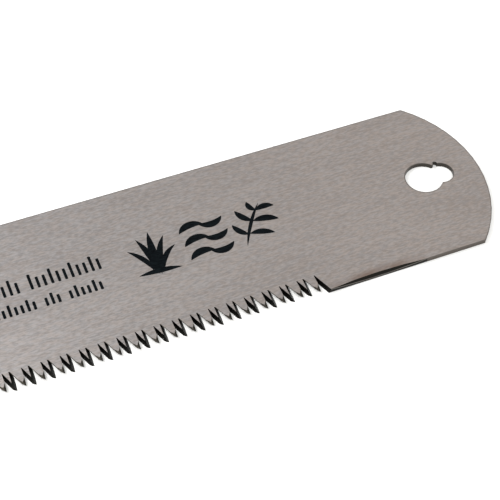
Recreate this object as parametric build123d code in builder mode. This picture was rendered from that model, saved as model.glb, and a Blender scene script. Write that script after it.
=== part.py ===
# Bare replacement saw blade with Japanese crosscut teeth, for a bow saw or mitre-box frame.
# It lies flat: X runs along the blade, +Y is the back edge, +Z is the printed face.
# The origin is the middle of the resting face.
import os
from math import hypot

from build123d import *

os.makedirs("parts", exist_ok=True)

# ---------------------------------------------------------------- driving sizes, mm
pitch = 1.75
width = 21 * pitch
length = 400.0
thickness = 0.95
end_radius = 0.70 * width

# Keyhole for the frame's tension pin, one at each end, measured from the tip
big_lobe_radius = 3.75
big_lobe_from_tip = 0.314 * width
small_lobe_radius = 2.5
small_lobe_from_tip = 0.213 * width
nick_radius = 0.45
nick_behind_small_lobe = 0.05
nick_above_small_lobe = 0.15

# Teeth. Gullets are cut obliquely, leaning right and left by turns, so each tooth is
# bevelled: A teeth are wide on the lower face and B teeth on the upper. Heights are up
# from the plain edge, and drops are down from the root.
gullet_count = 181
last_root_from_tip = 1.140 * width
root_height = 2.32 * pitch
root_flat = 0.08 * pitch
knee_run = 0.78 * pitch
knee_drop = 1.84 * pitch
land_run = 0.43 * pitch
land_drop = 0.38 * pitch
right_front_run = 0.035 * pitch
left_front_run = 0.11 * pitch
right_lean = 0.12 * pitch
left_lean = 0.20 * pitch
root_shift = 0.157 * pitch
overcut = 0.6

# Bevels on each tooth's wide face, in pitches: start, end, width and slope. Places are
# measured along the blade from the gullet on the tooth's left, and up from the plain edge.
# A B tooth has a narrow one down its back edge, and two wide ones that meet in a ridge near
# the point. An A tooth has only the one on its front edge.
b_edge_bevel = ((-0.05, 2.30), (0.49, 1.05), 0.12, 0.45)
b_back_bevel = ((0.37, 1.18), (1.40, 0.12), 0.45, 0.36)
b_front_bevel = ((0.55, 0.18), (1.11, 1.16), 0.60, 0.32)
a_front_bevel = ((0.66, -0.25), (1.24, 1.15), 0.60, 0.34)

# Grinding mark on the lower edge of the plain end, left by the rim of a wide wheel
mark_centre_from_tip = 0.82 * width
mark_length = 0.554 * width
mark_on_face = 0.0146 * width
mark_on_wall = 0.60 * thickness

# Print on the upper face: three brush marks, then two rows of plain ticks to their left
ink = 0.02
mark_size = 0.12 * width
mark_height = 0.040 * width
mark_from_tip = {"tuft": 1.84 * width, "waves": 1.55 * width, "sprig": 1.27 * width}
upper_row_from_tip = 2.11 * width
upper_row_foot = 0.040 * width
lower_row_from_tip = 2.14 * width
lower_row_foot = -0.085 * width
tick_width = 0.55

half_length = length / 2
half_width = width / 2
root_y = root_height - half_width
last_root_x = half_length - last_root_from_tip
corner_x = half_length - end_radius + (end_radius**2 - half_width**2) ** 0.5
big_lobe_x = half_length - big_lobe_from_tip
small_lobe_x = half_length - small_lobe_from_tip

# ---------------------------------------------------------------- plate outline
with BuildSketch() as plate_face:
    with BuildLine():
        Line((-corner_x, -half_width), (corner_x, -half_width))
        ThreePointArc((corner_x, -half_width), (half_length, 0), (corner_x, half_width))
        Line((corner_x, half_width), (-corner_x, half_width))
        ThreePointArc((-corner_x, half_width), (-half_length, 0), (-corner_x, -half_width))
    make_face()
    with Locations((big_lobe_x, 0), (-big_lobe_x, 0)):
        Circle(big_lobe_radius, mode=Mode.SUBTRACT)
    with Locations((small_lobe_x, 0), (-small_lobe_x, 0)):
        Circle(small_lobe_radius, mode=Mode.SUBTRACT)
    with Locations((small_lobe_x - nick_behind_small_lobe, small_lobe_radius + nick_above_small_lobe)):
        Circle(nick_radius, mode=Mode.SUBTRACT)

# ---------------------------------------------------------------- gullet profiles
notch_depth = root_height + overcut
half_root = root_flat / 2
land_foot_x = knee_run + (notch_depth - knee_drop) * land_run / land_drop
back_foot_x = half_root + (knee_run - half_root) * notch_depth / knee_drop
tooth_back = [(half_root, 0), (knee_run, -knee_drop), (land_foot_x, -notch_depth)]
plain_back = [(half_root, 0), (back_foot_x, -notch_depth)]


def gullet(front_run, back):
    """A gullet: up the front of the tooth on its left, over a narrow flat root, down a back."""
    front_foot_x = -half_root - (front_run - half_root) * notch_depth / (knee_drop + land_drop)
    with BuildSketch() as outline:
        with BuildLine():
            Polyline((front_foot_x, -notch_depth), (-half_root, 0), *back, close=True)
        make_face()
    return outline.sketch


# Both kinds start in the middle of the plate and are cut to each side of it. A lean is how
# far the cut moves along the blade from there to a face. On the upper face each root stands
# root_shift away from an even spacing, right-leaning ones to the right and others to the left.
mid_plane = Plane.XY.offset(thickness / 2)
right_way = Vector(right_lean, 0, thickness / 2)
left_way = Vector(-left_lean, 0, thickness / 2)
reach = 2 * left_way.length
row_spacing = 2 * pitch
b_teeth_x = last_root_x - gullet_count // 2 * pitch
a_teeth_x = b_teeth_x - pitch
right_start = root_shift - right_lean
left_start = left_lean - root_shift

with BuildSketch(mid_plane) as right_leaning:
    with Locations((a_teeth_x + right_start, root_y)):
        with GridLocations(row_spacing, 1, gullet_count // 2, 1):
            add(gullet(right_front_run, tooth_back))
    # The last gullet has no tooth on its right, so its back slope runs straight out
    with Locations((last_root_x + right_start, root_y)):
        add(gullet(right_front_run, plain_back))

with BuildSketch(mid_plane) as left_leaning:
    with Locations((b_teeth_x + left_start, root_y)):
        with GridLocations(row_spacing, 1, gullet_count // 2, 1):
            add(gullet(left_front_run, tooth_back))

# ---------------------------------------------------------------- tooth bevels
def bevel_cut(start, end, width_out, slope):
    """The wedge above one bevel, which falls away from the upper face to the bevel's right."""
    start = Vector(*start, thickness / pitch) * pitch
    bevel = Vector(*end, thickness / pitch) * pitch - start
    right_of_it = bevel.rotate(Axis.Z, -90)
    out = width_out * pitch
    with BuildPart(mode=Mode.PRIVATE) as wedge:
        with BuildSketch(Plane(origin=start, x_dir=right_of_it, z_dir=bevel)):
            with BuildLine():
                Polyline((0, 0), (out, slope * out), (out, -overcut), (0, -overcut), close=True)
            make_face()
        extrude(amount=bevel.length)
    return wedge.part


with BuildPart(mode=Mode.PRIVATE) as b_cutter:
    add(bevel_cut(*b_edge_bevel))
    add(bevel_cut(*b_back_bevel))
    add(bevel_cut(*b_front_bevel))

with BuildPart(mode=Mode.PRIVATE) as a_cutter:
    add(bevel_cut(*a_front_bevel))
    mirror(about=mid_plane, mode=Mode.REPLACE)

# ---------------------------------------------------------------- grinding mark
# The wheel's rim meets the corner of the upper face and the edge along a slanting line.
# Its sagitta over the mark's length is the depth of the bevel.
mark_depth = mark_on_face * mark_on_wall / hypot(mark_on_face, mark_on_wall)
wheel_radius = (mark_length / 2) ** 2 / (2 * mark_depth)
mark_x = half_length - mark_centre_from_tip
outward = Vector(0, -mark_on_wall, mark_on_face).normalized()
along_bevel = Vector(0, mark_on_face, mark_on_wall).normalized()
edge_corner = Vector(mark_x, -half_width, thickness)
wheel_centre = edge_corner + outward * (wheel_radius - mark_depth)
wheel_plane = Plane(origin=wheel_centre, x_dir=(1, 0, 0), z_dir=along_bevel)

with BuildSketch(wheel_plane) as wheel:
    Circle(wheel_radius)

# ---------------------------------------------------------------- blade
with BuildPart() as blade:
    extrude(plate_face.sketch, amount=thickness)
    extrude(right_leaning.sketch, amount=reach, dir=right_way, both=True, mode=Mode.SUBTRACT)
    extrude(left_leaning.sketch, amount=reach, dir=left_way, both=True, mode=Mode.SUBTRACT)
    with Locations((b_teeth_x, -half_width)):
        with GridLocations(row_spacing, 1, gullet_count // 2, 1):
            add(b_cutter.part, mode=Mode.SUBTRACT)
    with Locations((a_teeth_x, -half_width)):
        with GridLocations(row_spacing, 1, gullet_count // 2, 1):
            add(a_cutter.part, mode=Mode.SUBTRACT)
    extrude(wheel.sketch, amount=mark_on_face * 2, both=True, mode=Mode.SUBTRACT)


# ---------------------------------------------------------------- brush marks
def dab(start, end, bow, breadth):
    """One brush stroke in units of mark_size: pointed at both ends, bowed to its left."""
    start = Vector(*start) * mark_size
    end = Vector(*end) * mark_size
    side = (end - start).rotate(Axis.Z, 90).normalized() * mark_size
    middle = (start + end) / 2
    with BuildSketch() as stroke:
        with BuildLine():
            ThreePointArc(start, middle + side * (bow + breadth / 2), end)
            ThreePointArc(end, middle + side * (bow - breadth / 2), start)
        make_face()
    return stroke.sketch


def mark_plane(name):
    """The upper face, centred on one brush mark."""
    return Plane(origin=(half_length - mark_from_tip[name], mark_height, thickness))


# A tuft of grass on its ground
with BuildPart() as brush_mark_tuft:
    with BuildSketch(mark_plane("tuft")):
        add(dab((-0.15, -1.10), (-1.00, 0.45), -0.16, 0.24))
        add(dab((-0.08, -1.15), (-0.46, 0.95), -0.12, 0.30))
        add(dab((0.02, -1.18), (0.16, 1.18), 0.06, 0.34))
        add(dab((0.10, -1.15), (0.74, 0.78), 0.16, 0.28))
        add(dab((0.15, -1.08), (1.05, 0.12), 0.20, 0.24))
        add(dab((-0.95, -0.98), (0.95, -1.10), 0.07, 0.26))
    extrude(amount=ink)

# Three waves, each of two strokes that run into one another
with BuildPart() as brush_mark_waves:
    with BuildSketch(mark_plane("waves")):
        for wave_y in (-0.82, -0.06, 0.70):
            add(dab((-1.02, wave_y - 0.14), (0.16, wave_y + 0.04), 0.24, 0.36))
            add(dab((-0.08, wave_y + 0.14), (1.05, wave_y + 0.20), -0.26, 0.34))
    extrude(amount=ink)

# A leaning sprig with six leaves
with BuildPart() as brush_mark_sprig:
    with BuildSketch(mark_plane("sprig")):
        add(dab((-0.85, -1.12), (0.50, 1.00), 0.10, 0.16))
        add(dab((-0.52, -0.52), (-1.05, 0.22), 0.10, 0.28))
        add(dab((-0.50, -0.50), (0.55, -0.82), 0.10, 0.30))
        add(dab((-0.10, 0.14), (-0.66, 0.92), 0.10, 0.30))
        add(dab((-0.12, 0.10), (1.00, -0.16), 0.12, 0.34))
        add(dab((0.22, 0.62), (1.08, 0.62), 0.12, 0.30))
        add(dab((0.24, 0.64), (0.02, 1.22), 0.10, 0.26))
    extrude(amount=ink)

# ---------------------------------------------------------------- rows of ticks
def row_of_ticks(from_tip, height, short, tall, groups, spacing):
    """Upright ticks in groups, from the row's right end to its left, every third one tall."""
    with BuildSketch() as row:
        x = half_length - from_tip
        for group in groups:
            for i in range(group):
                tick = tall if i % 3 == 1 else short
                with Locations((x, height)):
                    RectangleRounded(tick_width, tick, tick_width / 3, align=(Align.MAX, Align.MIN))
                x -= spacing
            x -= spacing
    return row.sketch


with BuildPart() as print_row_upper:
    with BuildSketch(Plane.XY.offset(thickness)):
        add(row_of_ticks(upper_row_from_tip, upper_row_foot, 2.6, 3.6, (11, 8, 7), 1.30))
    extrude(amount=ink)

with BuildPart() as print_row_lower:
    with BuildSketch(Plane.XY.offset(thickness)):
        add(row_of_ticks(lower_row_from_tip, lower_row_foot, 1.9, 2.7, (6, 3, 7), 1.15))
    extrude(amount=ink)

# ---------------------------------------------------------------- write every piece
pieces = {
    "blade": blade,
    "brush_mark_tuft": brush_mark_tuft,
    "brush_mark_waves": brush_mark_waves,
    "brush_mark_sprig": brush_mark_sprig,
    "print_row_upper": print_row_upper,
    "print_row_lower": print_row_lower,
}
for name, piece in pieces.items():
    piece.part.label = name
    export_step(piece.part, f"parts/{name}.step")
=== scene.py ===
# A bare replacement saw blade lying on a white sheet, seen at its printed end.
import math

import bpy
from mathutils import Matrix, Vector


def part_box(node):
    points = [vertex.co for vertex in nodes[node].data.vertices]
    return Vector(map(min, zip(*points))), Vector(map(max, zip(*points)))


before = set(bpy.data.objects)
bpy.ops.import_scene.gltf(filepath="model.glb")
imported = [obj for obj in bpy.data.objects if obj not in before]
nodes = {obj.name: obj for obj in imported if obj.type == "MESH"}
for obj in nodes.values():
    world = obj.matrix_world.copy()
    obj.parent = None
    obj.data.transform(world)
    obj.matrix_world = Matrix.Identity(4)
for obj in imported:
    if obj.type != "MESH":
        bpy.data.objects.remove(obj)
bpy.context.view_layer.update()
scene = bpy.context.scene

MM = 0.001

# ---------------------------------------------------------------- sizes from the frame
low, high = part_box("blade")
width = high[1] - low[1]
thickness = high[2] - low[2]
tip_x = high[0]

# Teeth: the roots of the gullets, and a place just past the last gullet of each end
pitch = width / 21
root_y = low[1] + 2.32 * pitch
toothed_end_x = tip_x - 1.085 * width

# Outline of the ends, and the two lobes of a keyhole as centre and radius
end_radius = 0.70 * width
arc_centre_x = tip_x - end_radius
keyhole_lobes = [(tip_x - 0.314 * width, 3.75 * MM), (tip_x - 0.213 * width, 2.5 * MM)]

# A square round each keyhole, big enough to hold both lobes: inside it the walls get painted shade
keyhole_x = tip_x - 0.27 * width
keyhole_reach = 8 * MM

# Ground facet on the lower edge of the plain end, at its tallest in the middle
facet_x = tip_x - 0.82 * width
facet_half_length = 0.277 * width
facet_on_face = 0.0146 * width
facet_on_wall = 0.60 * thickness

# ---------------------------------------------------------------- colours, linear with alpha
PLATE_DARK_COOL = (0.247, 0.233, 0.229, 1)
PLATE_DARK_WARM = (0.254, 0.221, 0.200, 1)
PLATE_LIGHT_COOL = (0.335, 0.318, 0.312, 1)
PLATE_LIGHT_WARM = (0.345, 0.301, 0.274, 1)
HEAT_TINT = (0.150, 0.098, 0.072, 1)
RIM_LINE = (0.085, 0.074, 0.064, 1)
SHEARED_WALL = (0.110, 0.096, 0.085, 1)
# Keyhole wall: oxide like the sheared edges, plus painted shade for the shadowed sheet inside the
# holes
KEYHOLE_WALL_PAINTED_SHADE = (0.050, 0.045, 0.039, 1)
FACET_BURNT = (0.016, 0.015, 0.013, 1)
FACET_LINE = (0.19, 0.175, 0.16, 1)
BEVEL_BLACK = (0.006, 0.006, 0.005, 1)
BEVEL_SMOKE = (0.018, 0.017, 0.015, 1)
TIP_BEVEL = (0.034, 0.031, 0.026, 1)
INK_DARK = (0.0006, 0.0012, 0.0018, 1)
INK_LIGHT = (0.003, 0.005, 0.006, 1)
SHEET_DARK = (0.775, 0.772, 0.755, 1)
SHEET_LIGHT = (0.810, 0.807, 0.790, 1)
WORLD_WHITE = (1.0, 1.0, 1.0, 1)


# ---------------------------------------------------------------- node helpers
class Tree:
    """A material's node tree, with short calls for the nodes that the materials share."""

    def __init__(self, name):
        self.material = bpy.data.materials.new(name)
        self.material.use_nodes = True
        self.tree = self.material.node_tree
        self.shader = self.tree.nodes["Principled BSDF"]
        self.place = self.node("ShaderNodeTexCoord").outputs["Object"]

    def node(self, kind, **values):
        """A new node, with the named settings."""
        made = self.tree.nodes.new(kind)
        for key, value in values.items():
            setattr(made, key, value)
        return made

    def link(self, source, target):
        """Joins an output to an input, or writes a plain value into it."""
        if hasattr(source, "is_output"):
            self.tree.links.new(source, target)
        else:
            target.default_value = source

    def math(self, operation, *values, clamp=False):
        """One arithmetic step on outputs or plain numbers, kept within 0 to 1 if clamp is set."""
        made = self.node("ShaderNodeMath", operation=operation, use_clamp=clamp)
        for value, target in zip(values, made.inputs):
            self.link(value, target)
        return made.outputs[0]

    def distance(self, x, y, centre_x):
        """Distance from the point x, y to the point centre_x, 0."""
        off = self.math("SUBTRACT", x, centre_x)
        squares = self.math("ADD", self.math("MULTIPLY", off, off), self.math("MULTIPLY", y, y))
        return self.math("SQRT", squares)

    def ramp(self, value, start, end, low_value=0.0, high_value=1.0):
        """Smooth change from low_value to high_value as value goes from start to end."""
        made = self.node("ShaderNodeMapRange", interpolation_type="SMOOTHSTEP")
        self.link(value, made.inputs["Value"])
        made.inputs["From Min"].default_value = start
        made.inputs["From Max"].default_value = end
        made.inputs["To Min"].default_value = low_value
        made.inputs["To Max"].default_value = high_value
        return made.outputs["Result"]

    def split(self, vector):
        """The three parts of a vector."""
        made = self.node("ShaderNodeSeparateXYZ")
        self.link(vector, made.inputs[0])
        return made.outputs

    def noise(self, scale, stretch=(1, 1, 1), detail=2.0, roughness=0.5):
        """Noise over the object, drawn out along the axes with a small stretch number."""
        mapping = self.node("ShaderNodeMapping")
        self.link(self.place, mapping.inputs["Vector"])
        mapping.inputs["Scale"].default_value = stretch
        made = self.node("ShaderNodeTexNoise")
        self.link(mapping.outputs[0], made.inputs["Vector"])
        made.inputs["Scale"].default_value = scale
        made.inputs["Detail"].default_value = detail
        made.inputs["Roughness"].default_value = roughness
        return made.outputs["Fac"]

    def mix(self, share, first, second):
        """Colour first where share is 0 and second where it is 1."""
        made = self.node("ShaderNodeMix", data_type="RGBA")
        self.link(share, made.inputs["Factor"])
        self.link(first, made.inputs["A"])
        self.link(second, made.inputs["B"])
        return made.outputs["Result"]

    def bump(self, height, strength, distance):
        """Tilts the shading as if a height of 1 stood up by distance, at the given strength."""
        made = self.node("ShaderNodeBump")
        made.inputs["Strength"].default_value = strength
        made.inputs["Distance"].default_value = distance
        self.link(height, made.inputs["Height"])
        self.link(made.outputs["Normal"], self.shader.inputs["Normal"])


# ---------------------------------------------------------------- steel
# In these functions t is the material's Tree, and x, y and z are places on the object.
def brushed_tone(t):
    """0 to 1 over the face: short scratches along the blade, over slower changes of tone."""
    hairlines = t.noise(scale=9000.0, stretch=(0.04, 1, 1), roughness=0.6)
    scratches = t.noise(scale=3000.0, stretch=(0.30, 1, 1), roughness=0.6)
    streaks = t.noise(scale=1100.0, stretch=(0.05, 1, 1))
    clouds = t.noise(scale=60.0, stretch=(0.4, 1, 1))
    tone = 0.0
    for layer, share in ((hairlines, 0.15), (scratches, 0.55), (streaks, 0.15), (clouds, 0.15)):
        tone = t.math("ADD", tone, t.math("MULTIPLY", layer, share))
    return tone


def add_grain(t, tone):
    """Very shallow grooves that follow the brushed tone."""
    t.bump(tone, strength=0.15, distance=0.01 * MM)


def plate_colour(t, tone, x):
    """Grey with dark and light scratches, warmer in small flecks and toward the shown tip."""
    warm_length = 110 * MM
    drift = t.ramp(x, tip_x - warm_length, tip_x, high_value=0.5)
    fleck_noise = t.noise(scale=1800.0, stretch=(0.35, 1, 1))
    fleck = t.ramp(fleck_noise, 0.38, 0.62, high_value=0.5)
    warmth = t.math("ADD", drift, fleck)
    dark = t.mix(warmth, PLATE_DARK_COOL, PLATE_DARK_WARM)
    light = t.mix(warmth, PLATE_LIGHT_COOL, PLATE_LIGHT_WARM)
    return t.mix(t.ramp(tone, 0.38, 0.62), dark, light)


def along_facet(t, x):
    """How tall the ground facet stands at x, from 0 at its ends to 1 in its middle."""
    place = t.math("DIVIDE", t.math("SUBTRACT", x, facet_x), facet_half_length)
    return t.math("SUBTRACT", 1.0, t.math("MULTIPLY", place, place), clamp=True)


def with_heat_tint(t, colour, x, y):
    """Straw-brown bloom on the face just over the ground facet."""
    full_above = 0.1 * MM
    gone_above = 1.9 * MM
    strength = 0.75
    rise = along_facet(t, x)
    facet_top = t.math("MULTIPLY_ADD", rise, facet_on_face, low[1])
    fade = t.ramp(t.math("SUBTRACT", y, facet_top), full_above, gone_above, 1.0, 0.0)
    blotch_noise = t.noise(scale=500.0, stretch=(0.5, 1, 1), detail=3.0)
    blotch = t.ramp(blotch_noise, 0.35, 0.65, low_value=0.45)
    tint = t.math("MULTIPLY", t.math("MULTIPLY", fade, t.math("POWER", rise, 0.6)), blotch)
    return t.mix(t.math("MULTIPLY", tint, strength), colour, HEAT_TINT)


def from_outline(t, x, y):
    """Distance on the face to the nearest edge: an end arc, a straight edge or a keyhole.

    The toothed edge counts as a straight one through the points of the teeth.
    """
    along = t.math("ABSOLUTE", x)
    distances = [t.math("SUBTRACT", high[1], y), t.math("SUBTRACT", y, low[1])]
    from_arc_centre = t.distance(t.math("MAXIMUM", along, arc_centre_x), y, arc_centre_x)
    distances.append(t.math("SUBTRACT", end_radius, from_arc_centre))
    for lobe_x, lobe_radius in keyhole_lobes:
        distances.append(t.math("SUBTRACT", t.distance(along, y, lobe_x), lobe_radius))
    nearest = distances[0]
    for distance in distances[1:]:
        nearest = t.math("MINIMUM", nearest, distance)
    return nearest


def with_rim_line(t, colour, x, y):
    """A thin dark line where the face breaks into its walls."""
    full_within = 0.05 * MM
    gone_beyond = 0.20 * MM
    strength = 0.85
    rim = t.ramp(from_outline(t, x, y), full_within, gone_beyond, strength, 0.0)
    return t.mix(rim, colour, RIM_LINE)


def with_walls_and_keyhole_shade(t, colour, wall, x, y):
    """Walls cut through the sheet, dark from oxide on the sheared edges; the keyhole walls are
    darker still from painted shade, standing in for the shadowed sheet seen inside the holes.
    """
    from_keyhole = t.math("ABSOLUTE", t.math("SUBTRACT", t.math("ABSOLUTE", x), keyhole_x))
    near_in_x = t.math("LESS_THAN", from_keyhole, keyhole_reach)
    near_in_y = t.math("LESS_THAN", t.math("ABSOLUTE", y), keyhole_reach)
    keyhole_shade_mask = t.math("MULTIPLY", near_in_x, near_in_y)
    # Painted shade: keyhole walls take a darker colour than the sheared edges, for the shadowed
    # sheet inside the holes
    wall_colour = t.mix(keyhole_shade_mask, SHEARED_WALL, KEYHOLE_WALL_PAINTED_SHADE)
    return t.mix(wall, colour, wall_colour)


def with_burnt_facet(t, colour, wall, x, y, z):
    """The burnt facet and the wall under it, with a brighter line where the two meet."""
    least_rise = 0.02
    limit_above_edge = 1.0 * MM
    line_core = 0.03 * MM
    line_end = 0.10 * MM
    line_strength = 0.8
    rise = along_facet(t, x)
    inside = t.math("MULTIPLY", wall, t.math("GREATER_THAN", rise, least_rise))
    inside = t.math("MULTIPLY", inside, t.math("LESS_THAN", y, low[1] + limit_above_edge))
    colour = t.mix(inside, colour, FACET_BURNT)
    meeting_z = t.math("MULTIPLY_ADD", rise, -facet_on_wall, high[2])
    off_line = t.math("ABSOLUTE", t.math("SUBTRACT", z, meeting_z))
    line = t.math("MULTIPLY", inside, t.ramp(off_line, line_core, line_end, 1.0, 0.0))
    return t.mix(t.math("MULTIPLY", line, line_strength), colour, FACET_LINE)


def with_tooth_bevels(t, colour, wall, flatness, x, y):
    """Tooth bevels, blackened by hardening: the tip bevels lie flatter, and are a little paler."""
    above_root = 0.1 * MM
    in_row = t.math("LESS_THAN", t.math("ABSOLUTE", x), toothed_end_x)
    below_root = t.math("LESS_THAN", y, root_y + above_root)
    bevels = t.math("MULTIPLY", wall, t.math("MULTIPLY", in_row, below_root))
    smoke = t.ramp(t.noise(scale=2500.0), 0.35, 0.65)
    black = t.mix(smoke, BEVEL_BLACK, BEVEL_SMOKE)
    bevel_colour = t.mix(t.ramp(flatness, 0.80, 0.95), black, TIP_BEVEL)
    return t.mix(bevels, colour, bevel_colour)


def steel_material():
    """Brushed plate, darker on its cut walls, with painted shade on the keyhole walls, and nearly
    black on the hardened tooth bevels.
    """
    t = Tree("brushed_blade_steel")
    x, y, z = t.split(t.place)

    # Flatness is 1 on both faces of the plate and 0 on upright walls. Slopes count as wall too
    normal = t.node("ShaderNodeNewGeometry").outputs["Normal"]
    flatness = t.math("ABSOLUTE", t.split(normal)[2])
    wall = t.ramp(flatness, start=0.985, end=0.955)

    tone = brushed_tone(t)
    colour = plate_colour(t, tone, x)
    colour = with_heat_tint(t, colour, x, y)
    colour = with_rim_line(t, colour, x, y)
    colour = with_walls_and_keyhole_shade(t, colour, wall, x, y)
    colour = with_burnt_facet(t, colour, wall, x, y, z)
    colour = with_tooth_bevels(t, colour, wall, flatness, x, y)
    roughness = t.ramp(tone, 0.3, 0.7, low_value=0.38, high_value=0.48)

    t.link(colour, t.shader.inputs["Base Color"])
    t.shader.inputs["Metallic"].default_value = 1.0
    t.link(roughness, t.shader.inputs["Roughness"])
    add_grain(t, tone)
    return t.material


# ---------------------------------------------------------------- ink and sheet
def ink_material():
    """Thin matt black ink that lets the brushed grain show through a little."""
    t = Tree("print_ink")
    tone = brushed_tone(t)
    colour = t.mix(t.ramp(tone, 0.40, 0.60), INK_DARK, INK_LIGHT)
    t.link(colour, t.shader.inputs["Base Color"])
    t.shader.inputs["Roughness"].default_value = 0.6
    t.shader.inputs["Specular IOR Level"].default_value = 0.03
    add_grain(t, tone)
    return t.material


def sheet_material():
    """White paper with barely visible fibres."""
    t = Tree("white_sheet")
    fibre = t.noise(scale=600.0, detail=3.0)
    t.link(t.mix(fibre, SHEET_DARK, SHEET_LIGHT), t.shader.inputs["Base Color"])
    t.shader.inputs["Roughness"].default_value = 0.9
    return t.material


def dress(obj, material):
    """Gives every slot of a CAD node one material."""
    if not obj.material_slots:
        obj.data.materials.append(material)
    for slot in obj.material_slots:
        slot.material = material


steel = steel_material()
ink = ink_material()
for name, node in nodes.items():
    dress(node, steel if name == "blade" else ink)


# ---------------------------------------------------------------- sheet under the blade
def add_sheet():
    """A wide flat square at the height of the blade's resting face."""
    half_side = 4.0
    corners = [
        (-half_side, -half_side, low[2]),
        (half_side, -half_side, low[2]),
        (half_side, half_side, low[2]),
        (-half_side, half_side, low[2]),
    ]
    mesh = bpy.data.meshes.new("white_sheet")
    mesh.from_pydata(corners, [], [(0, 1, 2, 3)])
    mesh.materials.append(sheet_material())
    sheet = bpy.data.objects.new("white_sheet", mesh)
    scene.collection.objects.link(sheet)


add_sheet()


# ---------------------------------------------------------------- camera
def turn_to(direction):
    """The turn that makes a camera or a light look along direction."""
    return direction.to_track_quat("-Z", "Y").to_matrix().to_4x4()


def add_camera():
    """Above and in front of the teeth, looking down and to the right at the print."""
    azimuth = math.radians(23.754)
    elevation = math.radians(51.412)
    roll = math.radians(1.933)
    distance = 255.39 * MM
    aim = Vector((tip_x - 50.335 * MM, -4.42 * MM, high[2]))
    direction = Vector((math.sin(azimuth) * math.cos(elevation),
                        math.cos(azimuth) * math.cos(elevation),
                        -math.sin(elevation)))
    data = bpy.data.cameras.new("camera")
    data.lens = 97.955
    data.sensor_width = 36.0
    data.clip_start = 0.01
    camera = bpy.data.objects.new("camera", data)
    scene.collection.objects.link(camera)
    place = Matrix.Translation(aim - direction * distance)
    camera.matrix_world = place @ turn_to(direction) @ Matrix.Rotation(roll, 4, "Z")
    scene.camera = camera


add_camera()


# ---------------------------------------------------------------- light
def add_light(name, place, aim, size, power):
    """A rectangular lamp at place, turned to aim, in metres and watts."""
    data = bpy.data.lights.new(name, "AREA")
    data.shape = "RECTANGLE"
    data.size, data.size_y = size
    data.energy = power
    light = bpy.data.objects.new(name, data)
    scene.collection.objects.link(light)
    place = Vector(place)
    light.matrix_world = Matrix.Translation(place) @ turn_to(Vector(aim) - place)


def add_world():
    """Even white light from all round."""
    world = bpy.data.worlds.new("studio")
    world.use_nodes = True
    background = world.node_tree.nodes["Background"]
    background.inputs["Color"].default_value = WORLD_WHITE
    background.inputs["Strength"].default_value = 0.95
    scene.world = world


add_world()
add_light(
    "overhead_softbox",
    place=(tip_x - 0.4, -0.7, 1.2),
    aim=(tip_x - 0.06, 0, 0),
    size=(0.9, 0.9),
    power=12.0,
)
add_light(
    "left_softbox",
    place=(tip_x - 0.225, 0.085, 0.23),
    aim=(tip_x - 0.15, -0.02, 0),
    size=(0.14, 0.10),
    power=0.50,
)
add_light(
    "right_softbox",
    place=(tip_x + 0.32, 0.45, 0.60),
    aim=(tip_x, 0, 0),
    size=(0.3, 0.3),
    power=0.13,
)
scene.view_settings.view_transform = "Standard"
